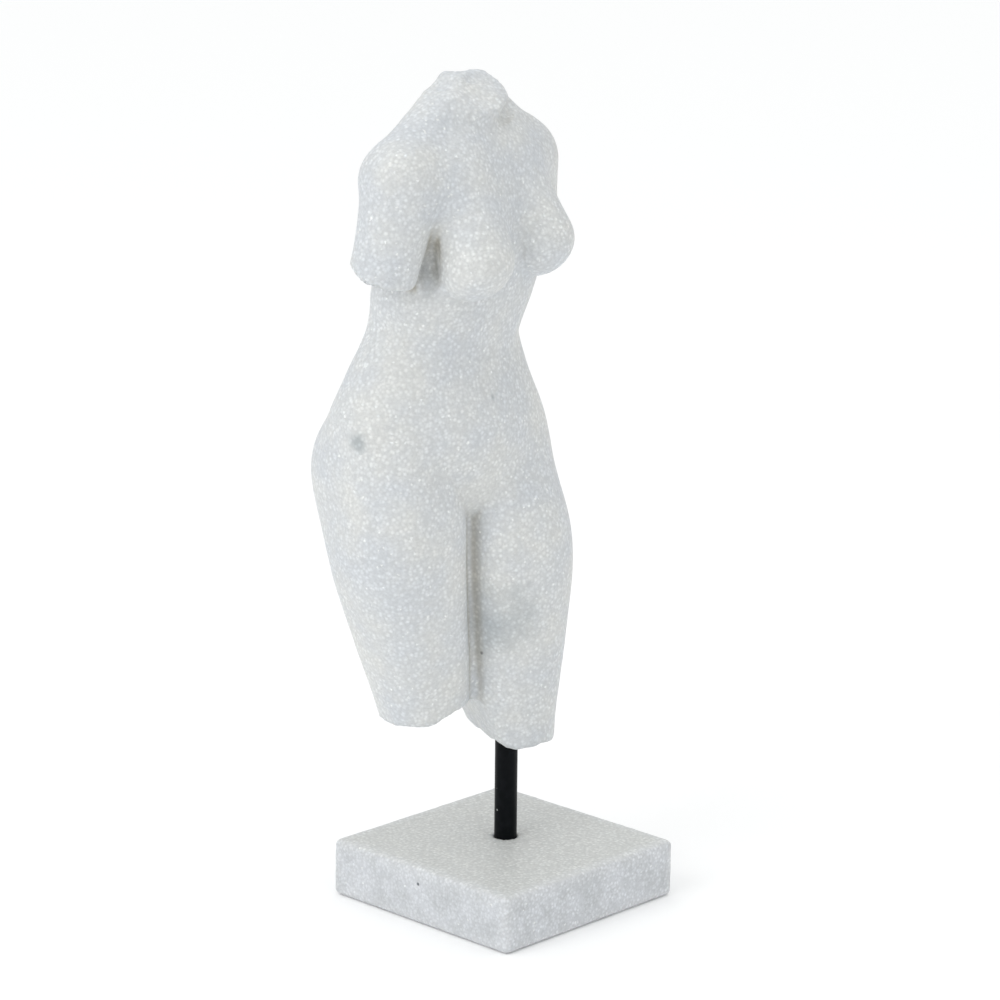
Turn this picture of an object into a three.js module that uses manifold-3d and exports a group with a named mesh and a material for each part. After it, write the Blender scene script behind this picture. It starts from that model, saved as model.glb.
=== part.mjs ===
// Female torso in white marble, broken off at the neck, the upper arms and above the knees.
// It stands on a black steel rod that is set into the left thigh and into a square marble plinth.
//
// Units are millimetres. +Z is up, the figure faces -Y and its right side is at -X.
// The origin is the centre of the plinth's underside.
import * as THREE from "three";
import { RoundedBoxGeometry } from "three/addons/geometries/RoundedBoxGeometry.js";
import { mergeVertices } from "three/addons/utils/BufferGeometryUtils.js";
import Module from "manifold-3d";

const wasm = await Module();
wasm.setup();

// ---------------------------------------------------------------- driving sizes

const PLINTH = { side: 127, height: 30.5, edgeRadius: 3.2, edgeSteps: 2 };
const ROD = { radius: 6, x: 5.1, y: 3.7, inPlinth: 18, inThigh: 34, chamfer: 0.6, segments: 32 };
const FIT_GAP = 0.3; // clearance of the rod in its two drilled holes
const THIGH_END = 84.5; // height of the break across the left thigh, where the rod goes in
const RIGHT_THIGH_END = 100;

// How the carved block is bent along its height: its middle sways to the right and leans to the
// back, it twists about the vertical, and the left hip hangs lower than the right one.
// Angles in degrees, drop in millimetres per millimetre across.
const POSE = [
  { z: 60, sway: -12, lean: 11, twist: -24, drop: 0 },
  { z: 100, sway: -14.5, lean: 14, twist: -22, drop: 0 },
  { z: 140, sway: -18.5, lean: 16, twist: -19, drop: 0.03 },
  { z: 185, sway: -22.8, lean: 18, twist: -17, drop: 0.07 },
  { z: 240, sway: -25.5, lean: 21.5, twist: -8, drop: 0.12 },
  { z: 285, sway: -27, lean: 24, twist: -2, drop: 0.07 },
  { z: 306, sway: -24, lean: 23.5, twist: 2, drop: 0.03 },
  { z: 345, sway: -18.5, lean: 19, twist: 7, drop: 0 },
  { z: 400, sway: -18, lean: 17, twist: 7, drop: 0 },
  { z: 425, sway: -17, lean: 12, twist: 5, drop: 0 },
  { z: 440, sway: -16.5, lean: 9, twist: 5, drop: 0 },
];

// Half width, and depth to the front and to the back, of the rib cage up to the neck.
const RIBS = [
  { z: 445, half: 18.5, front: 18.5, back: 18.5 }, // neck
  { z: 424, half: 18.5, front: 18.5, back: 18.5 }, // neck
  { z: 412, half: 21, front: 15.5, back: 21 }, // root of the neck
  { z: 400, half: 32, front: 18, back: 25 }, // collar
  { z: 386, half: 42, front: 27, back: 29 }, // shoulder
  { z: 370, half: 46, front: 33.5, back: 32 }, // armpit
  { z: 350, half: 46.5, front: 35, back: 32 }, // chest
  { z: 330, half: 49, front: 34, back: 30 }, // lower ribs
  { z: 306, half: 43.5, front: 31.5, back: 27 }, // waist
  { z: 290, half: 40, front: 28.5, back: 25 },
  { z: 265, half: 30, front: 20, back: 18 },
];

// The same for the belly and hips, which meet the ribs in the fold of the waist.
const BELLY = [
  { z: 330, half: 28, front: 14, back: 18 },
  { z: 316, half: 40, front: 21, back: 24 },
  { z: 306, half: 45, front: 27, back: 27 }, // waist
  { z: 286, half: 53.5, front: 33, back: 31 }, // flank
  { z: 262, half: 62.5, front: 36, back: 36 }, // hip bone
  { z: 238, half: 60.5, front: 33, back: 40 }, // hip
  { z: 216, half: 54, front: 22, back: 38 }, // seat
  { z: 196, half: 36, front: 6, back: 24 }, // crotch, inside the thighs
];

const THIGH = [
  { z: 60, out: 22, half: 18.5, front: 20, back: 20 },
  { z: 100, out: 25, half: 20.5, front: 22, back: 22 }, // above the knee
  { z: 140, out: 29, half: 26.7, front: 29, back: 29 },
  { z: 185, out: 33, half: 32.5, front: 36, back: 35 }, // thick of the thigh
  { z: 215, out: 33, half: 32, front: 37, back: 36 },
  { z: 245, out: 31, half: 27, front: 28, back: 32 }, // inside the hip
  { z: 270, out: 30, half: 18, front: 14, back: 20 },
];
const LEFT_THIGH_GROWS = 0.07; // the left thigh carries the rod and keeps its width lower down

const CELL = { across: 5.4, up: 7.4 }; // grid that the carved surface is drawn on

// ---------------------------------------------------------------- field of the carved block
// A field is negative inside the stone, positive outside and close to a distance near the surface.

// Value of every entry of a table of levels at height z, on smooth curves.
function levelAt(levels, z) {
  const up = levels[0].z < levels[levels.length - 1].z;
  const rows = up ? levels : [...levels].reverse();
  const last = rows.length - 1;
  if (z <= rows[0].z) return rows[0];
  if (z >= rows[last].z) return rows[last];
  let i = 0;
  while (z > rows[i + 1].z) i++;
  const [p, q] = [rows[i], rows[i + 1]];
  const before = rows[Math.max(i - 1, 0)];
  const after = rows[Math.min(i + 2, last)];
  const t = (z - p.z) / (q.z - p.z);
  const span = q.z - p.z;
  const out = { z };
  for (const key of Object.keys(p)) {
    if (key === "z") continue;
    const slopeP = ((q[key] - before[key]) / (q.z - before.z)) * span;
    const slopeQ = ((after[key] - p[key]) / (after.z - p.z)) * span;
    out[key] =
      (2 * t ** 3 - 3 * t ** 2 + 1) * p[key] +
      (t ** 3 - 2 * t ** 2 + t) * slopeP +
      (3 * t ** 2 - 2 * t ** 3) * q[key] +
      (t ** 3 - t ** 2) * slopeQ;
  }
  return out;
}

function join(a, b, round) {
  const h = Math.max(round - Math.abs(a - b), 0) / round;
  return Math.min(a, b) - (h * h * h * round) / 6;
}

function cut(a, b, round) {
  return -join(-a, b, round);
}

// Distance to a loft's wall at a height where its section has this half width and these depths.
function section(x, y, { half, front, back }, squareness) {
  const depth = y < 0 ? front : back;
  const q =
    (Math.abs(x / half) ** squareness + Math.abs(y / depth) ** squareness) **
    (1 / squareness);
  const r = Math.hypot(x, y);
  return q < 1e-6 ? -Math.min(half, depth) : r * (1 - 1 / q);
}

function ellipsoid(x, y, z, [cx, cy, cz], [rx, ry, rz]) {
  const k = Math.hypot((x - cx) / rx, (y - cy) / ry, (z - cz) / rz);
  const g = Math.hypot(
    (x - cx) / (rx * rx),
    (y - cy) / (ry * ry),
    (z - cz) / (rz * rz),
  );
  return g < 1e-9 ? -Math.min(rx, ry, rz) : (k * (k - 1)) / g;
}

// A rod with round ends, radius ra at a and rb at b.
function taper(x, y, z, a, b, ra, rb) {
  const [ux, uy, uz] = [b[0] - a[0], b[1] - a[1], b[2] - a[2]];
  const [px, py, pz] = [x - a[0], y - a[1], z - a[2]];
  const t = Math.min(
    Math.max((px * ux + py * uy + pz * uz) / (ux * ux + uy * uy + uz * uz), 0),
    1,
  );
  return Math.hypot(px - t * ux, py - t * uy, pz - t * uz) - (ra + t * (rb - ra));
}

// Height in millimetres by which a broken face wanders from its plane.
function uneven(x, y) {
  return 0.5 * Math.sin(x * 0.26 + y * 0.1 + 1) + 0.4 * Math.sin(y * 0.33 - x * 0.15);
}

// 0 below low, 1 above high, smooth between.
function ramp(v, low, high) {
  return THREE.MathUtils.smoothstep(v, low, high);
}

function torsoField(X, Y, Z) {
  const pose = levelAt(POSE, Z);
  const turn = THREE.MathUtils.degToRad(-pose.twist);
  const [c, s] = [Math.cos(turn), Math.sin(turn)];
  const [dx, dy] = [X - pose.sway, Y - pose.lean];
  const x = dx * c - dy * s;
  const y = dx * s + dy * c;
  const z = Z + pose.drop * x;
  const side = Math.abs(x); // both halves of the trunk are alike

  // rib cage and belly, meeting in the fold of the waist
  const ribs = cut(section(x, y, levelAt(RIBS, z), 2.3), z - 270, 6);
  let belly = cut(section(x, y, levelAt(BELLY, z), 2.2), 326 - z, 8);
  belly = join(belly, ellipsoid(x, y, z, [0, -17, 260], [34, 22, 27]), 14);
  let body = join(ribs, belly, 4 + 10 * ramp(y, -5, 20));

  // shoulders and arm stumps, free of the chest only low down
  body = join(body, taper(side, y, z, [12, 7, 418], [49, 2, 391], 14, 15), 14);
  let arm = taper(side, y, z, [49, 0, 386], [60, 1, 330], 19, 17);
  arm = cut(arm, z - 341 - 0.37 * y - uneven(x, y), 2);
  body = join(body, arm, 3 + 14 * ramp(z, 366, 388));
  body = join(body, taper(side, y, z, [22, -10, 388], [45, -3, 383], 11, 15), 18);
  body = cut(body, taper(side, y, z, [42, -21, 366], [46, -18, 338], 1, 5), 3);

  // breasts, falling softly from the collar and folded under
  const breast = taper(side, y, z, [20, -9, 388], [24.5, -31.5, 350.5], 10, 18.5);
  body = join(body, breast, 4 + 16 * ramp(z, 345, 376));
  body = join(body, ellipsoid(side, y, z, [26.5, -48, 350.5], [2.6, 2.6, 2.6]), 2);

  // buttocks
  body = join(body, ellipsoid(side, y, z, [28, 20, 226], [32, 31, 36]), 16);

  // shoulder blades and the furrow of the spine
  body = join(body, ellipsoid(side, y, z, [23, 18, 376], [18, 14, 22]), 16);
  body = cut(body, taper(x, y, z, [0, 40, 400], [0, 40, 256], 7, 9), 12);

  // pubic mound and thighs, with a web of stone left between the thighs
  body = join(body, ellipsoid(x, y, z, [0, -13, 232], [25, 17, 19]), 13);
  const t = levelAt(THIGH, z);
  const g = 1 + LEFT_THIGH_GROWS * (1 - ramp(z, 90, 190));
  const right = section(x + t.out, y, t, 2.1);
  const left = section((x - t.out * g) / g, y / g, t, 2.1) * g;
  let legs = join(right, left, 4);
  legs = join(legs, Math.max(side - 9, Math.abs(y - 2) - 9, z - 206), 5);
  legs = cut(legs, 258 - z, 16);
  body = join(body, legs, 3 + 16 * ramp(side, 18, 46) + 10 * ramp(y, -5, 20));

  // broken faces: the neck with a rolled front lip round a shallow dish, and the two thighs
  body = join(body, taper(x, y, z, [-7, -11, 422], [12, -10, 424], 6, 6.5), 5);
  body = cut(body, 435.5 + uneven(x, y) - z, 3);
  body = cut(body, 430.5 + 0.72 * y + 0.06 * x + uneven(x, y) - z, 4);
  body = cut(body, ellipsoid(x, y, z, [2, -2, 437], [11, 11, 9.5]), 4);
  const rightEnd = RIGHT_THIGH_END + 11.5 * Math.exp(-((x / 26) ** 2));
  const leftEnd = THIGH_END + 27 * Math.exp(-((x / 7.5) ** 2));
  body = cut(body, Z - (x < 0 ? rightEnd : leftEnd) - uneven(x, y), 4);
  return body;
}

// ---------------------------------------------------------------- surface of a field

// Closed triangle mesh of field = 0 on a grid of cells, with each corner drawn onto the surface.
function carve(field, low, high, cell) {
  const step = [cell.across, cell.across, cell.up];
  const n = step.map((s, i) => Math.ceil((high[i] - low[i]) / s) + 1);
  const at = (i, j, k) => (k * n[1] + j) * n[0] + i;
  const value = new Float64Array(n[0] * n[1] * n[2]);
  for (let k = 0; k < n[2]; k++)
    for (let j = 0; j < n[1]; j++)
      for (let i = 0; i < n[0]; i++)
        value[at(i, j, k)] = field(
          low[0] + i * step[0],
          low[1] + j * step[1],
          low[2] + k * step[2],
        );
  const corners = [0, 1, 2, 3, 4, 5, 6, 7].map((c) => [c & 1, (c >> 1) & 1, c >> 2]);
  const edges = [];
  for (let a = 0; a < 8; a++)
    for (const bit of [1, 2, 4]) if (!(a & bit)) edges.push([a, a | bit]);
  const vertexOf = new Map();
  const points = [];
  for (let k = 0; k < n[2] - 1; k++)
    for (let j = 0; j < n[1] - 1; j++)
      for (let i = 0; i < n[0] - 1; i++) {
        const v = corners.map(([a, b, c]) => value[at(i + a, j + b, k + c)]);
        const sum = [0, 0, 0];
        let crossings = 0;
        for (const [a, b] of edges) {
          if (v[a] < 0 === v[b] < 0) continue;
          const t = v[a] / (v[a] - v[b]);
          crossings++;
          for (let m = 0; m < 3; m++)
            sum[m] += corners[a][m] + t * (corners[b][m] - corners[a][m]);
        }
        if (!crossings) continue;
        vertexOf.set(at(i, j, k), points.length);
        points.push([i, j, k].map((g, m) => low[m] + (g + sum[m] / crossings) * step[m]));
      }
  const quads = [];
  const strides = [1, n[0], n[0] * n[1]];
  for (let k = 1; k < n[2] - 1; k++)
    for (let j = 1; j < n[1] - 1; j++)
      for (let i = 1; i < n[0] - 1; i++)
        for (let axis = 0; axis < 3; axis++) {
          const here = at(i, j, k);
          const inside = value[here] < 0;
          if (inside === value[here + strides[axis]] < 0) continue;
          const [u, v] = [strides[(axis + 1) % 3], strides[(axis + 2) % 3]];
          const ring = [here - u - v, here - v, here, here - u].map((c) => vertexOf.get(c));
          quads.push(inside ? ring : ring.reverse());
        }
  for (let pass = 0; pass < 4; pass++) {
    relax(points, quads);
    points.forEach((p) => drawOnto(field, p));
  }
  return { points, quads };
}

// Moves every corner half way to the middle of its neighbours.
function relax(points, quads) {
  const sum = points.map(() => [0, 0, 0, 0]);
  for (const q of quads)
    for (let i = 0; i < 4; i++)
      for (const other of [q[(i + 1) % 4], q[(i + 3) % 4]]) {
        for (let m = 0; m < 3; m++) sum[q[i]][m] += points[other][m];
        sum[q[i]][3]++;
      }
  points.forEach((p, i) => {
    for (let m = 0; m < 3; m++) p[m] += 0.5 * (sum[i][m] / sum[i][3] - p[m]);
  });
}

// Newton steps along the field's slope.
function drawOnto(field, p) {
  const e = 0.2;
  for (let pass = 0; pass < 2; pass++) {
    const f = field(...p);
    const slope = [0, 1, 2].map((m) => {
      const q = [...p];
      q[m] += e;
      return (field(...q) - f) / e;
    });
    const steep = slope[0] ** 2 + slope[1] ** 2 + slope[2] ** 2;
    const move = Math.max(-3, Math.min(3, f / Math.max(steep, 0.1)));
    for (let m = 0; m < 3; m++) p[m] -= slope[m] * move;
  }
}

function solidOf({ points, quads }) {
  const faces = [];
  const gap = (a, b) => Math.hypot(...[0, 1, 2].map((m) => points[a][m] - points[b][m]));
  for (const [a, b, c, d] of quads)
    if (gap(a, c) < gap(b, d)) faces.push(a, b, c, a, c, d);
    else faces.push(a, b, d, b, c, d);
  return new wasm.Manifold(
    new wasm.Mesh({
      numProp: 3,
      vertProperties: new Float32Array(points.flat()),
      triVerts: new Uint32Array(faces),
    }),
  );
}

function geometryOf(solid) {
  const mesh = solid.getMesh();
  const geometry = new THREE.BufferGeometry();
  geometry.setAttribute("position", new THREE.BufferAttribute(mesh.vertProperties, 3));
  geometry.setIndex(new THREE.BufferAttribute(mesh.triVerts, 1));
  return geometry;
}

const torso = solidOf(carve(torsoField, [-110, -62, 66], [72, 100, 452], CELL));

// ---------------------------------------------------------------- rod and plinth

// Upright cylinder between two heights, centred on the rod.
function column(radius, bottom, top) {
  const profile = [[0, bottom], [radius, bottom], [radius, top], [0, top]];
  return turned(profile);
}

// Solid turned about the rod's axis from [radius, height] points.
function turned(profile) {
  const points = profile.map(([r, h]) => new THREE.Vector2(r, h));
  const geometry = new THREE.LatheGeometry(points, ROD.segments);
  geometry.rotateX(Math.PI / 2);
  geometry.translate(ROD.x, ROD.y, 0);
  return solidFrom(geometry);
}

function solidFrom(geometry) {
  const bare = geometry.index ? geometry.toNonIndexed() : geometry.clone();
  bare.deleteAttribute("normal");
  bare.deleteAttribute("uv");
  const merged = mergeVertices(bare, 1e-4);
  return new wasm.Manifold(
    new wasm.Mesh({
      numProp: 3,
      vertProperties: new Float32Array(merged.attributes.position.array),
      triVerts: new Uint32Array(merged.index.array),
    }),
  );
}

const rodBottom = PLINTH.height - ROD.inPlinth;
const rodTop = THIGH_END + ROD.inThigh;
const rod = turned([
  [0, rodBottom + FIT_GAP],
  [ROD.radius - ROD.chamfer, rodBottom + FIT_GAP],
  [ROD.radius, rodBottom + FIT_GAP + ROD.chamfer],
  [ROD.radius, rodTop - FIT_GAP - ROD.chamfer],
  [ROD.radius - ROD.chamfer, rodTop - FIT_GAP],
  [0, rodTop - FIT_GAP],
]);

const holeInThigh = column(ROD.radius + FIT_GAP, THIGH_END - 20, rodTop);
const figure = torso.subtract(holeInThigh);

// a slab with every edge rounded
const block = new RoundedBoxGeometry(
  PLINTH.side,
  PLINTH.side,
  PLINTH.height,
  PLINTH.edgeSteps,
  PLINTH.edgeRadius,
);
block.translate(0, 0, PLINTH.height / 2);
const holeInPlinth = column(ROD.radius + FIT_GAP, rodBottom, PLINTH.height + 5);
const plinth = solidFrom(block).subtract(holeInPlinth);

// ---------------------------------------------------------------- the part

const marble = new THREE.MeshStandardMaterial({ color: 0xe4e5e2, roughness: 0.55, metalness: 0 });
const slab = new THREE.MeshStandardMaterial({ color: 0xd6d5d1, roughness: 0.35, metalness: 0 });
const blackSteel = new THREE.MeshStandardMaterial({ color: 0x17181a, roughness: 0.38, metalness: 0 });

const group = new THREE.Group();
for (const [name, solid, material] of [
  ["torso", figure, marble],
  ["rod", rod, blackSteel],
  ["plinth", plinth, slab],
]) {
  const mesh = new THREE.Mesh(geometryOf(solid), material);
  mesh.name = name;
  group.add(mesh);
}

export default group;
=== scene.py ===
"""A female torso carved in white marble, broken off at the neck, the upper arms and above the
knees. It stands on a black steel rod that is set into the left thigh and into a square plinth.

Carving sizes are in millimetres, as in the part's source, and the meshes are made in metres.
"""

import math

import bpy
import numpy as np
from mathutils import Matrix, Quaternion, Vector, noise


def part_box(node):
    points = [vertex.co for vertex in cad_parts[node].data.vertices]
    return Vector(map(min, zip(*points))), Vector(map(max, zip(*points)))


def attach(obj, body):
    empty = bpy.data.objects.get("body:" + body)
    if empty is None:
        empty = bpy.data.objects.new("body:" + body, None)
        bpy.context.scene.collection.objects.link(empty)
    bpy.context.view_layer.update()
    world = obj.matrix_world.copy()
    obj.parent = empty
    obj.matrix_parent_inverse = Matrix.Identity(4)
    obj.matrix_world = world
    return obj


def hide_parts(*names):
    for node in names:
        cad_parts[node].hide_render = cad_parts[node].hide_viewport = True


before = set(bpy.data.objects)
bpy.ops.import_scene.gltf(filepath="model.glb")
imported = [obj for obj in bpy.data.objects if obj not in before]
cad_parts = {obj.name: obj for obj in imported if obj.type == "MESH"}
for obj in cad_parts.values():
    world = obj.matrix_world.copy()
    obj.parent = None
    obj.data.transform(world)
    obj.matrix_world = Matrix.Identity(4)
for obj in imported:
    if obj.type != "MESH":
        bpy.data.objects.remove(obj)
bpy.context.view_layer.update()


# ---- Torso ---------------------------------------------------------------------------------
# The torso is carved from one block of sugary white marble, rubbed smooth but never polished.
# It has lost the neck, both arms and the legs above the knee, and the breaks are worn round.
# A hole bored up into the left thigh takes the rod.

MM = 0.001
CELL = 1.5  # grid that the carving is drawn on

# How the body stands: (height, sway to its left, lean to the back, twist, tilt of the hips)
POSE = [
    (60, -12, 11, -24, 0),
    (100, -14.5, 14, -22, 0),
    (140, -18.5, 16, -19, 0.03),
    (185, -22.8, 18, -17, 0.07),
    (240, -25.8, 21.5, -8, 0.12),
    (285, -27, 24, -2, 0.07),
    (306, -24, 23.5, 2, 0.03),
    (345, -18.5, 19, 7, 0),
    (400, -18, 17, 7, 0),
    (425, -16, 12, 5, 0),
    (440, -15, 9, 5, 0),
]

# Rib cage up to the neck, then belly and hips: (height, half width, depth to front, to back)
RIBS = [
    (445, 17, 18.5, 18.5),
    (424, 17.3, 18.5, 18.5),
    (412, 21, 15.5, 21),
    (400, 32, 18, 25),
    (386, 42, 27, 29),
    (370, 46, 33.5, 32),
    (350, 46.5, 35, 32),
    (330, 50, 34, 30),
    (306, 43.5, 31.5, 27),
    (290, 40, 28.5, 25),
    (265, 30, 20, 18),
]
BELLY = [
    (330, 28, 14, 18),
    (316, 40, 21, 24),
    (306, 45, 27, 27),
    (286, 53.5, 33, 31),
    (262, 61.6, 36, 36),
    (238, 60.5, 33, 40),
    (216, 54, 22, 38),
    (196, 36, 6, 24),
]

# One thigh: (height, distance out from the middle, half width, depth to front, to back)
THIGH = [
    (60, 20.5, 20, 20, 20),
    (100, 23.8, 21.7, 22, 22),
    (140, 28.4, 27.3, 29, 29),
    (185, 33, 32.5, 36, 35),
    (215, 33, 32, 37, 36),
    (245, 31, 27, 28, 32),
    (270, 30, 18, 14, 20),
]
LEFT_THIGH_GROWS = 0.07
THIGH_END = 84.5
RIGHT_THIGH_END = 100
ROD_PLAY = 0.3


def level_at(levels, z):
    """Each column of a table of levels at the heights z, on a smooth curve through its rows."""
    rows = np.array(sorted(levels), float)
    heights = rows[:, 0]
    z = np.clip(z, heights[0], heights[-1])
    i = np.clip(np.searchsorted(heights, z) - 1, 0, len(rows) - 2)
    before = np.maximum(i - 1, 0)
    after = np.minimum(i + 2, len(rows) - 1)
    span = heights[i + 1] - heights[i]
    t = (z - heights[i]) / span
    out = []
    for column in rows.T[1:]:
        p, q = column[i], column[i + 1]
        slope_p = (q - column[before]) / (heights[i + 1] - heights[before]) * span
        slope_q = (column[after] - p) / (heights[after] - heights[i]) * span
        out.append(
            (2 * t**3 - 3 * t**2 + 1) * p
            + (t**3 - 2 * t**2 + t) * slope_p
            + (3 * t**2 - 2 * t**3) * q
            + (t**3 - t**2) * slope_q
        )
    return out


def ramp(v, low, high):
    """A soft step from 0 at low to 1 at high."""
    t = np.clip((v - low) / (high - low), 0, 1)
    return t * t * (3 - 2 * t)


def join(a, b, rounding):
    """Two forms run together, with a fillet of about the given size."""
    h = np.maximum(rounding - np.abs(a - b), 0) / rounding
    return np.minimum(a, b) - h**3 * rounding / 6


def cut(a, b, rounding):
    """Form a with form b cut away, and its new edge rounded."""
    return -join(-a, b, rounding)


def section(x, y, size, squareness):
    """A column whose section has a half width and a depth to the front and to the back."""
    half, front, back = size
    depth = np.where(y < 0, front, back)
    q = (np.abs(x / half) ** squareness + np.abs(y / depth) ** squareness) ** (1 / squareness)
    return np.where(q < 1e-6, -half, np.hypot(x, y) * (1 - 1 / np.maximum(q, 1e-6)))


def ellipsoid(x, y, z, centre, radii):
    (cx, cy, cz), (rx, ry, rz) = centre, radii
    u, v, w = (x - cx) / rx, (y - cy) / ry, (z - cz) / rz
    k = np.sqrt(u * u + v * v + w * w)
    g = np.sqrt((u / rx) ** 2 + (v / ry) ** 2 + (w / rz) ** 2)
    return np.where(g < 1e-9, -min(radii), k * (k - 1) / np.maximum(g, 1e-9))


def taper(x, y, z, a, b, radius_a, radius_b):
    """A round bar from point a to point b, with a radius at each end."""
    ux, uy, uz = (q - p for p, q in zip(a, b))
    px, py, pz = x - a[0], y - a[1], z - a[2]
    t = np.clip((px * ux + py * uy + pz * uz) / (ux * ux + uy * uy + uz * uz), 0, 1)
    off = np.sqrt((px - t * ux) ** 2 + (py - t * uy) ** 2 + (pz - t * uz) ** 2)
    return off - radius_a - t * (radius_b - radius_a)


def uneven(x, y):
    """Gentle unevenness of a broken face."""
    return 0.5 * np.sin(x * 0.26 + y * 0.1 + 1) + 0.4 * np.sin(y * 0.33 - x * 0.15)


def in_pose(X, Y, Z):
    """A point of the standing body, moved back into the straight, even-handed body."""
    sway, lean, twist, drop = level_at(POSE, Z)
    turn = np.radians(-twist)
    dx, dy = X - sway, Y - lean
    x = dx * np.cos(turn) - dy * np.sin(turn)
    y = dx * np.sin(turn) + dy * np.cos(turn)
    return x, y, Z + drop * x


rod_low, rod_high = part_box("rod")
ROD_AT = [(rod_low[i] + rod_high[i]) / 2 / MM for i in range(2)]
ROD_RADIUS = (rod_high[0] - rod_low[0]) / 2 / MM
ROD_TOP = rod_high[2] / MM


def torso_field(X, Y, Z):
    """Below 0 inside the stone, and close to the distance from its surface near it."""
    x, y, z = in_pose(X, Y, Z)
    side = np.abs(x)

    # rib cage and belly, meeting in the fold of the waist
    ribs = cut(section(x, y, level_at(RIBS, z), 2.3), z - 270, 6)
    belly = cut(section(x, y, level_at(BELLY, z), 2.2), 326 - z, 8)
    belly = join(belly, ellipsoid(x, y, z, (0, -17, 260), (34, 22, 27)), 14)
    body = join(ribs, belly, 4 + 10 * ramp(y, -5, 20))

    # shoulders and arm stumps, free of the chest only low down
    body = join(body, taper(side, y, z, (12, 7, 418), (49, 2, 391), 14, 15), 14)
    arm = taper(side, y, z, (49, 0, 386), (61, 1, 330), 19, 17.4)
    arm = join(arm, taper(side, y, z, (44, 3, 376), (48, 3, 330), 10, 9), 4)
    arm = cut(arm, z - 341 - 0.37 * y - uneven(x, y), 2)
    body = join(body, arm, 3 + 14 * ramp(z, 366, 388))
    body = join(body, taper(side, y, z, (22, -10, 388), (45, -3, 383), 11, 15), 18)
    body = join(body, taper(x, y, z, (36, 1, 402), (44.5, 1, 398), 11, 12.5), 5)
    groove = taper(side, y, z, (40, -20, 367), (42, -16, 346), 2, 6.5)
    groove_end = taper(side, y, z, (42, -16, 346), (47, -24, 322), 6.5, 2)
    body = cut(body, join(groove, groove_end, 3), 4)

    # breasts, falling softly from the collar and folded under
    right_breast = taper(x, y, z, (-18, -6, 390), (-25, -31, 346), 18, 19)
    left_breast = taper(x, y, z, (22, -6, 392), (24.5, -32, 351.5), 17, 18.3)
    breasts = join(right_breast, left_breast, 4 + 20 * ramp(z, 350, 376))
    body = join(body, breasts, 3 + 16 * ramp(z, 345, 376))
    body = join(body, ellipsoid(x, y, z, (0, -7, 382), (44, 22, 26)), 14)
    body = join(body, ellipsoid(x, y, z, (-27, -48, 347), (2.2, 2.2, 2.2)), 3)
    body = join(body, ellipsoid(x, y, z, (26.5, -48, 350.5), (2.6, 2.6, 2.6)), 2)

    # buttocks, shoulder blades and the furrow of the spine
    body = join(body, ellipsoid(side, y, z, (28, 20, 226), (32, 31, 36)), 16)
    body = join(body, ellipsoid(side, y, z, (23, 18, 376), (18, 14, 22)), 16)
    body = cut(body, taper(x, y, z, (0, 40, 400), (0, 43, 262), 7, 8), 12)

    # pubic mound and thighs, with a web of stone left between the thighs
    body = join(body, ellipsoid(x, y, z, (0, -13, 232), (25, 17, 19)), 13)
    out, half, front, back = level_at(THIGH, z)
    g = 1 + LEFT_THIGH_GROWS * (1 - ramp(z, 90, 190))
    right = section(x + out, y, (half, front, back), 2.1 + 0.9 * ramp(x + out, 0, 12))
    across = x / g - out
    left = section(across, y / g, (half, front, back), 2.1 + 1.4 * ramp(-across, 0, 12)) * g
    legs = join(right, left, 4)
    web = np.maximum(np.maximum(side - 9, np.abs(y - 1) - 0.58 * front), z - 222)
    legs = cut(join(legs, web, 5), 258 - z, 16)
    body = join(body, legs, 3 + 16 * ramp(side, 18, 46) + 10 * ramp(y, -5, 20))

    # navel
    body = cut(body, ellipsoid(x, y, z, (5.7, -38, 276.5), (1.5, 2.6, 2)), 2)

    # neck, with a rolled front lip round a shallow dish
    body = join(body, taper(x, y, z, (-7, -11, 422), (12, -10, 424), 6, 6.5), 5)
    body = cut(body, taper(x, y, z, (0, -23, 412), (28, -7, 421), 4, 6), 3)
    body = cut(body, 435.5 - 7 * ramp(-x, 5, 17) + uneven(x, y) - z, 3)
    body = cut(body, 430.5 + 0.72 * y + 0.06 * x + uneven(x, y) - z, 4)
    body = cut(body, ellipsoid(x, y, z, (2, -4, 438), (12, 11, 8.5)), 4)

    # ends of the thighs, and the bored hole
    right_end = RIGHT_THIGH_END + 11.5 * np.exp(-((x / 26) ** 2))
    left_end = THIGH_END + 27 * np.exp(-((x / 7.5) ** 2))
    body = cut(body, Z - np.where(x < 0, right_end, left_end) - uneven(x, y), 4)
    hole = np.hypot(X - ROD_AT[0], Y - ROD_AT[1]) - ROD_RADIUS - ROD_PLAY
    return cut(body, np.maximum(hole, Z - ROD_TOP - ROD_PLAY), 0.5)


def slope_of(field, points, step=0.05):
    """The field and its slope at the points."""
    here = field(*points.T)
    slope = [field(*(points + step * axis).T) - here for axis in np.eye(3)]
    return here, np.stack(slope, 1) / step


def outward(field, points):
    """Unit normals at the points."""
    _, slope = slope_of(field, points)
    return slope / np.linalg.norm(slope, axis=1)[:, None]


def sampled(field, low, counts, cell, every=4):
    """field on a grid: worked out near the surface, and copied from a coarse grid elsewhere."""
    places = [low[i] + cell * every * np.arange(n // every + 2) for i, n in enumerate(counts)]
    values = field(*np.meshgrid(*places, indexing="ij"))
    for axis, n in enumerate(counts):
        values = values.take((np.arange(n) + every // 2) // every, axis)
    near = np.nonzero(np.abs(values) < 1.6 * every * cell)
    values[near] = field(*(low[i] + cell * near[i] for i in range(3)))
    return values


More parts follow.
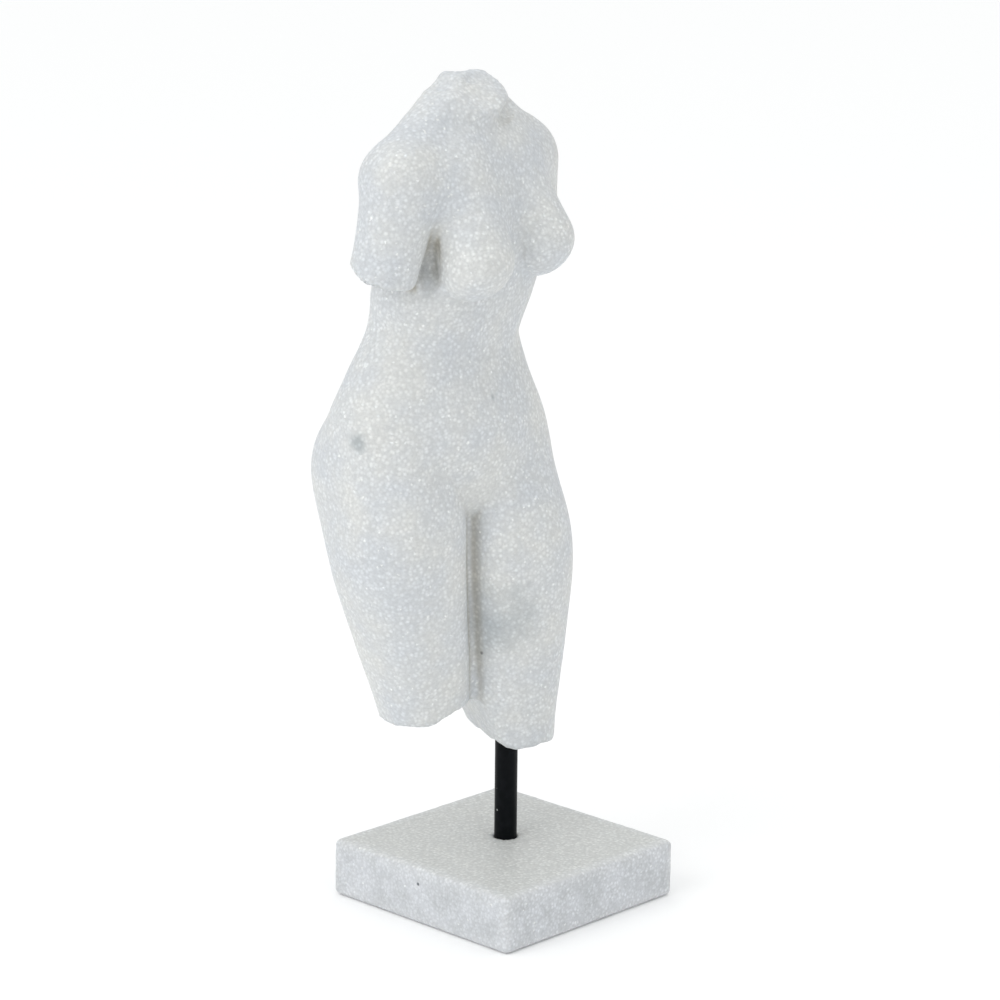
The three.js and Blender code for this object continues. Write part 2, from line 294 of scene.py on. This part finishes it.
def carve(field, low, high, cell, passes=4):
    """The closed surface where field is 0, as points and quads, with even, rounded faces."""
    counts = [math.ceil((high[i] - low[i]) / cell) + 1 for i in range(3)]
    values = sampled(field, low, counts, cell)
    stride = np.array([counts[1] * counts[2], counts[2], 1])
    rings, crossings = [], []
    for axis in range(3):
        first = values.take(range(counts[axis] - 1), axis)
        second = values.take(range(1, counts[axis]), axis)
        at = np.stack(np.nonzero((first < 0) != (second < 0)), 1)
        a, b = first[tuple(at.T)], second[tuple(at.T)]
        place = at.astype(float)
        place[:, axis] += a / (a - b)
        u, v = stride[(axis + 1) % 3], stride[(axis + 2) % 3]
        here = at @ stride
        ring = np.stack([here - u - v, here - v, here, here - u], 1)
        rings.append(np.where((a < 0)[:, None], ring, ring[:, ::-1]))
        crossings.append(np.repeat(place, 4, 0))
    rings, crossings = np.concatenate(rings), np.concatenate(crossings)
    _, quads = np.unique(rings, return_inverse=True)
    share = np.bincount(quads.ravel())
    points = np.stack([np.bincount(quads.ravel(), c) for c in crossings.T], 1) / share[:, None]
    points = low + cell * points
    quads = quads.reshape(-1, 4)
    for _ in range(passes):
        points = drawn_onto(field, relaxed(points, quads))
    return points, quads


def relaxed(points, quads):
    """Each point moved half way to the middle of its neighbours."""
    own = np.tile(quads, 2).ravel()
    other = np.concatenate([np.roll(quads, 1, 1), np.roll(quads, -1, 1)], 1).ravel()
    share = np.bincount(own)
    middle = np.stack([np.bincount(own, c[other]) for c in points.T], 1) / share[:, None]
    return (points + middle) / 2


def drawn_onto(field, points):
    """Points moved onto the surface of the field."""
    here, slope = slope_of(field, points)
    return points - (here / np.maximum((slope**2).sum(1), 0.2))[:, None] * slope


def roughened(points, normals, layers):
    """Points moved along their normals by layers of unevenness, as (size, depth)."""
    out = points.copy()
    for size, depth in layers:
        heights = np.array([noise.noise(Vector(p / size)) for p in points])
        out += normals * (heights * depth)[:, None]
    return out


def hollowness(field, points, normals):
    """How far each point lies down in a fold: 0 in the open, and near 1 in a deep groove."""
    shut = 0
    for reach in (2, 4, 8, 14):
        free = field(*(points + normals * reach).T) / reach
        shut = shut + (1 - np.clip(free, 0, 1)) / 4
    return shut


def stone(name, points, quads, masks):
    """A mesh object of carved stone, with its masks kept as values on its points."""
    mesh = bpy.data.meshes.new(name)
    mesh.from_pydata((points * MM).tolist(), [], quads.tolist())
    mesh.shade_smooth()
    for label, values in masks.items():
        mesh.attributes.new(label, "FLOAT", "POINT").data.foreach_set("value", values)
    made = bpy.data.objects.new(name, mesh)
    bpy.context.collection.objects.link(made)
    return made


MARGIN = 3 * CELL
low, high = (np.array(corner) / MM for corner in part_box("torso"))
points, quads = carve(torso_field, low - MARGIN, high + MARGIN, CELL)
normals = outward(torso_field, points)
broken = np.maximum(
    ramp(points[:, 2], 418, 424) * ramp(normals[:, 2], 0.3, 0.6),
    (1 - ramp(points[:, 2], 112, 118)) * ramp(-normals[:, 2], 0.3, 0.6),
)
hollow = hollowness(torso_field, points, normals)
points = roughened(points, normals, [(24, 0.22), (9, 0.12)])  # hand rubbed all over
points = roughened(points, normals, [(6, 0.5 * broken), (2.6, 0.4 * broken)])
torso = stone("torso_marble", points, quads, {"hollow": hollow})


def add(tree, kind, inputs=(), **settings):
    """A node of one kind, with its settings, and its inputs given a value or joined."""
    made = tree.nodes.new("ShaderNode" + kind)
    for name, value in settings.items():
        setattr(made, name, value)
    for name, value in dict(inputs).items():
        socket = made.inputs[name]
        if isinstance(value, bpy.types.NodeSocket):
            tree.links.new(value, socket)
        else:
            socket.default_value = value
    return made


def maths(tree, what, *values):
    """One sum on values or sockets."""
    return add(tree, "Math", enumerate(values), operation=what).outputs[0]


def spread(tree, value, low, high, to_low=0.0, to_high=1.0):
    """value carried from one range to another, and held inside it."""
    limits = {"Value": value, "From Min": low, "From Max": high}
    limits.update({"To Min": to_low, "To Max": to_high})
    return add(tree, "MapRange", limits).outputs["Result"]


def mixed(tree, share, a, b, how="MIX"):
    """Colour b laid over colour a by a share."""
    made = add(tree, "Mix", {0: share, 6: a, 7: b}, data_type="RGBA", blend_type=how)
    return made.outputs[2]


def new_group(name, inputs, outputs):
    """A node group with named inputs (name: (kind, value)) and outputs (name: kind)."""
    tree = bpy.data.node_groups.new(name, "ShaderNodeTree")
    for label, (kind, value) in inputs.items():
        socket = tree.interface.new_socket(label, in_out="INPUT", socket_type="NodeSocket" + kind)
        socket.default_value = value
    for label, kind in outputs.items():
        tree.interface.new_socket(label, in_out="OUTPUT", socket_type="NodeSocket" + kind)
    return tree, tree.nodes.new("NodeGroupInput"), tree.nodes.new("NodeGroupOutput")


def placed(tree, group, inputs):
    """A node group set in a material with its own values."""
    made = add(tree, "Group", node_tree=group)
    for name, value in inputs.items():
        made.inputs[name].default_value = value
    return made.outputs


def grey(tree, value):
    return add(tree, "CombineColor", {i: value for i in range(3)}).outputs[0]


# Sugary marble: crystals about a millimetre across, each a shade of its own, under soft clouds.
# A few crystals are picked as glints: the materials paint a glint into their colour and make them
# less rough.
crystals, given, made = new_group(
    "marble_crystals",
    {
        "Crystal Size": ("Float", 0.0009),
        "Cloud Size": ("Float", 0.03),
        "Contrast": ("Float", 0.1),
        "Glints": ("Float", 0.01),
    },
    {"Shade": "Float", "Glint": "Float", "Cloud": "Float", "Height": "Float"},
)
at = add(crystals, "TexCoord").outputs["Object"]
fine = maths(crystals, "DIVIDE", 1.0, given.outputs["Crystal Size"])
cells = add(crystals, "TexVoronoi", {"Vector": at, "Scale": fine})
shade = add(crystals, "SeparateColor", {"Color": cells.outputs["Color"]}).outputs
coarse = maths(crystals, "MULTIPLY", fine, 0.5)
lumps = add(crystals, "TexVoronoi", {"Vector": at, "Scale": coarse})
wide = maths(crystals, "DIVIDE", 1.0, given.outputs["Cloud Size"])
cloud = add(crystals, "TexNoise", {"Vector": at, "Scale": wide, "Detail": 3.0}).outputs["Fac"]
lump_shade = add(crystals, "SeparateColor", {"Color": lumps.outputs["Color"]}).outputs["Red"]
heart = spread(crystals, lumps.outputs["Distance"], 0.15, 0.6, 1.0, 0.0)
pick = maths(crystals, "MULTIPLY", heart, maths(crystals, "ADD", lump_shade, 0.5))
pick = maths(crystals, "ADD", pick, maths(crystals, "MULTIPLY", shade["Red"], 0.6))
off = maths(crystals, "SUBTRACT", pick, 0.75)
off = maths(crystals, "MULTIPLY", off, given.outputs["Contrast"])
crystals.links.new(maths(crystals, "ADD", off, 1.0), made.inputs["Shade"])
rare = maths(crystals, "SUBTRACT", 1.0, given.outputs["Glints"])
glint = maths(crystals, "GREATER_THAN", shade["Green"], rare)
crystals.links.new(glint, made.inputs["Glint"])
crystals.links.new(cloud, made.inputs["Cloud"])
crystals.links.new(maths(crystals, "ADD", shade["Blue"], lump_shade), made.inputs["Height"])

# A blotch in the stone round one point, with a ragged soft edge.
blotch, given, made = new_group(
    "stone_blotch",
    {
        "Centre": ("Vector", (0, 0, 0)),
        "Radius": ("Float", 0.005),
        "Ragged": ("Float", 0.3),
        "Ragged Size": ("Float", 0.004),
        "Softness": ("Float", 0.5),
    },
    {"Mask": "Float"},
)
at = add(blotch, "TexCoord").outputs["Object"]
away = add(blotch, "VectorMath", {0: at, 1: given.outputs["Centre"]}, operation="DISTANCE")
away = maths(blotch, "DIVIDE", away.outputs["Value"], given.outputs["Radius"])
small = maths(blotch, "DIVIDE", 1.0, given.outputs["Ragged Size"])
rag = add(blotch, "TexNoise", {"Vector": at, "Scale": small, "Detail": 3.0}).outputs["Fac"]
rag = maths(blotch, "MULTIPLY", maths(blotch, "SUBTRACT", rag, 0.5), given.outputs["Ragged"])
away = maths(blotch, "ADD", away, rag)
inner = maths(blotch, "SUBTRACT", 1.0, given.outputs["Softness"])
blotch.links.new(spread(blotch, away, 1.0, inner), made.inputs["Mask"])

WHITE_STONE = (0.71, 0.72, 0.71, 1)
COOL_STONE = (0.65, 0.675, 0.70, 1)
DUST_AND_PAINTED_SHADE = (0.42, 0.39, 0.32, 1)
PAINTED_GLINT = (0.88, 0.90, 0.90, 1)
GREY_STAIN = (0.38, 0.42, 0.44, 1)
BLACK_SPECK = (0.10, 0.11, 0.13, 1)
# natural blotches: (centre, radius, how ragged, size of the ragged edge, softness, colour, share)
BLOTCHES = [
    ((-88.7, 19, 256.9), 7, 0.5, 4, 0.75, GREY_STAIN, 0.7),
    ((-17.8, -12, 156), 25, 1.1, 14, 0.95, GREY_STAIN, 0.65),
    ((-21.8, -3.6, 138.4), 1.3, 0.5, 1, 0.6, BLACK_SPECK, 0.8),
    ((-25.2, -13.2, 275.6), 2.2, 0.4, 2, 0.8, GREY_STAIN, 0.6),
]

carved = bpy.data.materials.new("carved_marble")
carved.use_nodes = True
tree = carved.node_tree
shader = tree.nodes["Principled BSDF"]
stone_look = placed(
    tree,
    crystals,
    {"Crystal Size": 0.0011, "Cloud Size": 0.03, "Contrast": 0.17, "Glints": 0.01},
)
colour = mixed(tree, spread(tree, stone_look["Cloud"], 0.35, 0.65), COOL_STONE, WHITE_STONE)
# painted glint: the picked crystals are painted near white
colour = mixed(tree, stone_look["Glint"], colour, PAINTED_GLINT)
for centre, radius, ragged, ragged_size, softness, stain, share in BLOTCHES:
    mask = placed(
        tree,
        blotch,
        {
            "Centre": [c * MM for c in centre],
            "Radius": radius * MM,
            "Ragged": ragged,
            "Ragged Size": ragged_size * MM,
            "Softness": softness,
        },
    )["Mask"]
    colour = mixed(tree, maths(tree, "MULTIPLY", mask, share), colour, stain)
# folds and grooves are darkened towards a warm brown: partly dust, partly painted shade and
# painted warm light
fold = add(tree, "Attribute", attribute_name="hollow").outputs["Fac"]
dust_and_shade = spread(tree, fold, 0.3, 0.85, 0.0, 0.8)
colour = mixed(tree, dust_and_shade, colour, DUST_AND_PAINTED_SHADE)
colour = mixed(tree, 1.0, colour, grey(tree, stone_look["Shade"]), "MULTIPLY")
tree.links.new(colour, shader.inputs["Base Color"])
rough = spread(tree, stone_look["Glint"], 0.0, 1.0, 0.55, 0.25)
tree.links.new(rough, shader.inputs["Roughness"])
bump = add(tree, "Bump", {"Height": stone_look["Height"], "Strength": 0.35, "Distance": 0.0002})
tree.links.new(bump.outputs["Normal"], shader.inputs["Normal"])
shader.inputs["IOR"].default_value = 1.5
shader.inputs["Subsurface Weight"].default_value = 0.25
shader.inputs["Subsurface Radius"].default_value = (1.0, 0.9, 0.8)
shader.inputs["Subsurface Scale"].default_value = 0.002
torso.data.materials.append(carved)
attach(torso, "root")
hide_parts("torso")


# ---- Rod -----------------------------------------------------------------------------------
# A round bar of steel with a satin black paint, a little chipped by handling.
# It is a push fit in the bored holes of the thigh and of the plinth.

ROD_CHAMFER = 0.6
ROD_FOOT = rod_low[2] / MM
ROD_SIDES = 96
rise = np.linspace(ROD_FOOT + ROD_CHAMFER, ROD_TOP - ROD_CHAMFER, 160)
profile = [(ROD_RADIUS - ROD_CHAMFER, ROD_FOOT)]
profile += [(ROD_RADIUS, z) for z in rise]
profile += [(ROD_RADIUS - ROD_CHAMFER, ROD_TOP)]
turns = np.linspace(0, 2 * math.pi, ROD_SIDES, endpoint=False)
rod_points = [(*ROD_AT, ROD_FOOT)]
for radius, z in profile:
    for turn in turns:
        x, y = radius * math.cos(turn), radius * math.sin(turn)
        rod_points.append((ROD_AT[0] + x, ROD_AT[1] + y, z))
rod_points.append((*ROD_AT, ROD_TOP))
tip = len(rod_points) - 1
rod_faces = []
for i in range(ROD_SIDES):
    j = (i + 1) % ROD_SIDES
    rod_faces.append((0, 1 + j, 1 + i))
    for a in range(1, tip - ROD_SIDES, ROD_SIDES):
        b = a + ROD_SIDES
        rod_faces.append((a + i, a + j, b + j, b + i))
    rod_faces.append((tip, tip - ROD_SIDES + i, tip - ROD_SIDES + j))
rod_mesh = bpy.data.meshes.new("black_rod")
rod_mesh.from_pydata((np.array(rod_points) * MM).tolist(), [], rod_faces)
rod_mesh.shade_smooth()
rod = bpy.data.objects.new("black_rod", rod_mesh)
bpy.context.collection.objects.link(rod)

BLACK_PAINT = (0.002, 0.003, 0.004, 1)
RUBBED_PAINT = (0.006, 0.007, 0.009, 1)
CHIPPED_PAINT = (0.30, 0.31, 0.30, 1)
paint = bpy.data.materials.new("black_rod")
paint.use_nodes = True
tree = paint.node_tree
shader = tree.nodes["Principled BSDF"]
at = add(tree, "TexCoord").outputs["Object"]
rubbed = add(tree, "TexNoise", {"Vector": at, "Scale": 220.0, "Detail": 4.0}).outputs["Fac"]
colour = mixed(tree, spread(tree, rubbed, 0.4, 0.75), BLACK_PAINT, RUBBED_PAINT)
flakes = add(tree, "TexVoronoi", {"Vector": at, "Scale": 160.0})
flake_pick = add(tree, "SeparateColor", {"Color": flakes.outputs["Color"]}).outputs["Red"]
flake = maths(tree, "LESS_THAN", flakes.outputs["Distance"], 0.09)
flake = maths(tree, "MULTIPLY", flake, maths(tree, "GREATER_THAN", flake_pick, 0.72))
colour = mixed(tree, flake, colour, CHIPPED_PAINT)
tree.links.new(colour, shader.inputs["Base Color"])
tree.links.new(spread(tree, rubbed, 0.3, 0.7, 0.3, 0.45), shader.inputs["Roughness"])
shader.inputs["Specular IOR Level"].default_value = 0.08
orange_peel = add(tree, "TexNoise", {"Vector": at, "Scale": 900.0, "Detail": 2.0}).outputs["Fac"]
bump = add(tree, "Bump", {"Height": orange_peel, "Strength": 0.25, "Distance": 0.0001})
tree.links.new(bump.outputs["Normal"], shader.inputs["Normal"])
rod_mesh.materials.append(paint)
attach(rod, "root")
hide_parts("rod")


# ---- Plinth --------------------------------------------------------------------------------
# A square slab sawn from a greyer marble and polished on top, with rubbed round edges.
# The drilled hole for the rod has left a chipped rim.

plinth_low, plinth_high = (np.array(corner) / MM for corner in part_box("plinth"))
PLINTH_MIDDLE = (plinth_low + plinth_high) / 2
PLINTH_HALF = (plinth_high - plinth_low) / 2
EDGE_RADIUS = 3.2
PLINTH_TOP = plinth_high[2]
RIM_DEPTH = 1.6  # how far down the chipping of the hole's rim goes


def plinth_field(X, Y, Z):
    """Below 0 inside the slab: a rounded block with the rod's blind hole."""
    inner = PLINTH_HALF - EDGE_RADIUS
    off = [np.abs(v - PLINTH_MIDDLE[i]) - inner[i] for i, v in enumerate((X, Y, Z))]
    outside = np.sqrt(sum(np.maximum(v, 0) ** 2 for v in off))
    slab = outside + np.minimum(np.maximum(np.maximum(off[0], off[1]), off[2]), 0) - EDGE_RADIUS
    turn = np.arctan2(Y - ROD_AT[1], X - ROD_AT[0])
    rim = 0.5 * np.sin(3 * turn + 1) + 0.4 * np.sin(7 * turn)
    near = ramp(Z, PLINTH_TOP - RIM_DEPTH, PLINTH_TOP)
    hole = np.hypot(X - ROD_AT[0], Y - ROD_AT[1]) - ROD_RADIUS - ROD_PLAY
    hole = hole - near * np.maximum(rim, 0)
    return cut(slab, np.maximum(hole, ROD_FOOT - ROD_PLAY - Z), 0.4)


points, quads = carve(plinth_field, plinth_low - MARGIN, plinth_high + MARGIN, CELL)
normals = outward(plinth_field, points)
from_edge = np.sort(PLINTH_HALF - np.abs(points - PLINTH_MIDDLE), 1)[:, 1]
# closeness to an edge of the slab, used for a painted highlight along the rounded edges
edge = 1 - ramp(from_edge, 0, 9)
rounded = 1 - ramp(np.abs(normals).max(1), 0.8, 0.99)
top = ramp(normals[:, 2], 0.5, 0.9)
standing = 1 - ramp(-normals[:, 2], 0.2, 0.6)
points = roughened(points, normals, [(18, 0.12 * standing), (5, 0.35 * rounded * standing)])
plinth = stone("plinth_marble", points, quads, {"edge": edge, "top": top})

TOP_STONE = (0.63, 0.64, 0.625, 1)
SAWN_STONE = (0.67, 0.69, 0.72, 1)
DARK_STONE = (0.58, 0.60, 0.62, 1)
PAINTED_EDGE_HIGHLIGHT = (0.70, 0.715, 0.73, 1)
FLECK_AT = (-63.5, 0.2, 21.9)
polished = bpy.data.materials.new("polished_marble")
polished.use_nodes = True
tree = polished.node_tree
shader = tree.nodes["Principled BSDF"]
stone_look = placed(
    tree,
    crystals,
    {"Crystal Size": 0.001, "Cloud Size": 0.012, "Contrast": 0.2, "Glints": 0.004},
)
on_top = add(tree, "Attribute", attribute_name="top").outputs["Fac"]
edge_highlight_mask = add(tree, "Attribute", attribute_name="edge").outputs["Fac"]
patches = spread(tree, stone_look["Cloud"], 0.35, 0.6)
colour = mixed(tree, patches, DARK_STONE, SAWN_STONE)
colour = mixed(tree, on_top, colour, TOP_STONE)
# painted highlight: the stone is painted lighter near the rounded edges
colour = mixed(tree, maths(tree, "MULTIPLY", edge_highlight_mask, 0.6), colour, PAINTED_EDGE_HIGHLIGHT)
# painted glint: the picked crystals are painted near white
colour = mixed(tree, stone_look["Glint"], colour, PAINTED_GLINT)
colour = mixed(tree, 1.0, colour, grey(tree, stone_look["Shade"]), "MULTIPLY")
fleck = {"Centre": [c * MM for c in FLECK_AT], "Radius": 0.0012, "Softness": 0.6}
colour = mixed(tree, placed(tree, blotch, fleck)["Mask"], colour, BLACK_SPECK)
tree.links.new(colour, shader.inputs["Base Color"])
rough = spread(tree, stone_look["Glint"], 0.0, 1.0, 0.45, 0.25)
tree.links.new(rough, shader.inputs["Roughness"])
bump = add(tree, "Bump", {"Height": stone_look["Height"], "Strength": 0.2, "Distance": 0.0002})
tree.links.new(bump.outputs["Normal"], shader.inputs["Normal"])
shader.inputs["IOR"].default_value = 1.5
shader.inputs["Subsurface Weight"].default_value = 0.2
shader.inputs["Subsurface Radius"].default_value = (1.0, 0.9, 0.8)
shader.inputs["Subsurface Scale"].default_value = 0.002
plinth.data.materials.append(polished)
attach(plinth, "root")
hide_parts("plinth")


# ---- Studio --------------------------------------------------------------------------------
# A white floor, a white room that is brighter overhead, and one large soft light at the left.
# The camera stands in front of the figure's right side, a little above it, with a long lens.

FLOOR_SIZE = 40
FLOOR_GAP = 0.0002
floor_mesh = bpy.data.meshes.new("floor")
corners = [(-1, -1), (1, -1), (1, 1), (-1, 1)]
corners = [(x * FLOOR_SIZE / 2, y * FLOOR_SIZE / 2, -FLOOR_GAP) for x, y in corners]
floor_mesh.from_pydata(corners, [], [(0, 1, 2, 3)])
floor = bpy.data.objects.new("floor", floor_mesh)
bpy.context.collection.objects.link(floor)
paper = bpy.data.materials.new("white_paper")
paper.use_nodes = True
shader = paper.node_tree.nodes["Principled BSDF"]
shader.inputs["Base Color"].default_value = (0.97, 0.97, 0.97, 1)
shader.inputs["Roughness"].default_value = 0.9
shader.inputs["Specular IOR Level"].default_value = 0.1
shader.inputs["Emission Color"].default_value = (1, 1, 1, 1)
shader.inputs["Emission Strength"].default_value = 0.06
floor_mesh.materials.append(paper)

OVERHEAD, HORIZON = 1.1, 0.42  # how bright the room is, up above and at eye level
room = bpy.data.worlds.new("studio")
room.use_nodes = True
tree = room.node_tree
up = add(tree, "SeparateXYZ", {0: add(tree, "TexCoord").outputs["Generated"]}).outputs["Z"]
tree.links.new(
    spread(tree, up, 0.0, 0.8, HORIZON, OVERHEAD),
    tree.nodes["Background"].inputs["Strength"],
)
tree.nodes["Background"].inputs["Color"].default_value = (0.99, 1, 1, 1)
bpy.context.scene.world = room

key = bpy.data.lights.new("softbox", "AREA")
key.energy = 13
key.size = 1.4
softbox = bpy.data.objects.new("softbox", key)
softbox.location = (-2.0, 0.2, 1.7)
softbox.rotation_mode = "QUATERNION"
softbox.rotation_quaternion = (-softbox.location).to_track_quat("-Z", "Y")
bpy.context.collection.objects.link(softbox)

AIM = Vector((0, 0.00525, 0.21426))
CAMERA_AT = Vector((-1.33925, -1.27819, 0.69060))
CAMERA_ROLL = 0.576
SENSOR = 36
LENS = 133.63
camera_data = bpy.data.cameras.new("camera")
camera_data.sensor_width = SENSOR
camera_data.lens = LENS
camera = bpy.data.objects.new("camera", camera_data)
camera.location = CAMERA_AT
camera.rotation_mode = "QUATERNION"
level = (AIM - CAMERA_AT).to_track_quat("-Z", "Y")
camera.rotation_quaternion = level @ Quaternion((0, 0, 1), math.radians(CAMERA_ROLL))
bpy.context.collection.objects.link(camera)
bpy.context.scene.camera = camera
bpy.context.scene.view_settings.view_transform = "Standard"
